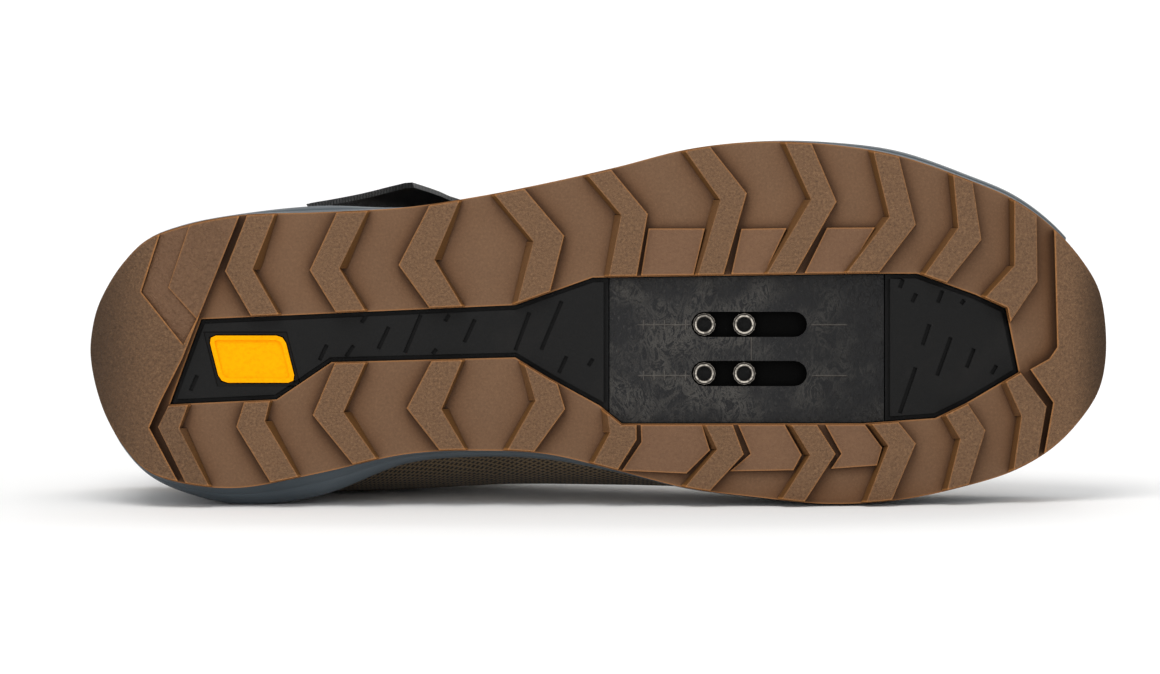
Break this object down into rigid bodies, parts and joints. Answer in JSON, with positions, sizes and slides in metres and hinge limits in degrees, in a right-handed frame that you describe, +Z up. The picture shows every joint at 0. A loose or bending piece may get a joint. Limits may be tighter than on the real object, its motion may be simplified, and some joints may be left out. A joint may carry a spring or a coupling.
{
  "type": "cycling shoe",
  "caption": "Right-foot cycling shoe with a lugged rubber sole, a recessed plate with slots for a cleat, a woven upper with laces and a strap over the instep, lying on its inner side.",
  "frame": {"origin": "on the surface that the shoe lies on, under the middle of its bounding box", "axes": "+X from heel to toe, -Y the way the sole faces, +Z up from the surface, towards the outer side of the foot"},
  "size_m": [0.291, 0.1372, 0.1038],
  "materials": {
    "gum_rubber": "matt",
    "foam": "satin",
    "black_rubber": "matt",
    "composite": "marbled satin",
    "steel": "satin",
    "inlay": "satin",
    "weave": "woven",
    "film": "satin",
    "knit": "knitted",
    "footbed": "brushed",
    "cord": "braided",
    "loop_tape": "looped pile"
  },
  "bodies": {
    "root": {"outsole": "gum_rubber", "midsole": "foam", "heel_insert": "black_rubber", "toe_insert": "black_rubber", "cleat_plate": "composite", "cleat_nut_plate": "steel", "heel_inlay": "inlay", "upper": "weave", "heel_counter": "film", "toe_cap": "film", "eyestay": "film", "tongue": "knit", "insole": "footbed", "lace": "cord", "instep_strap": "loop_tape", "strap_pad": "loop_tape"}
  },
  "joints": []
}
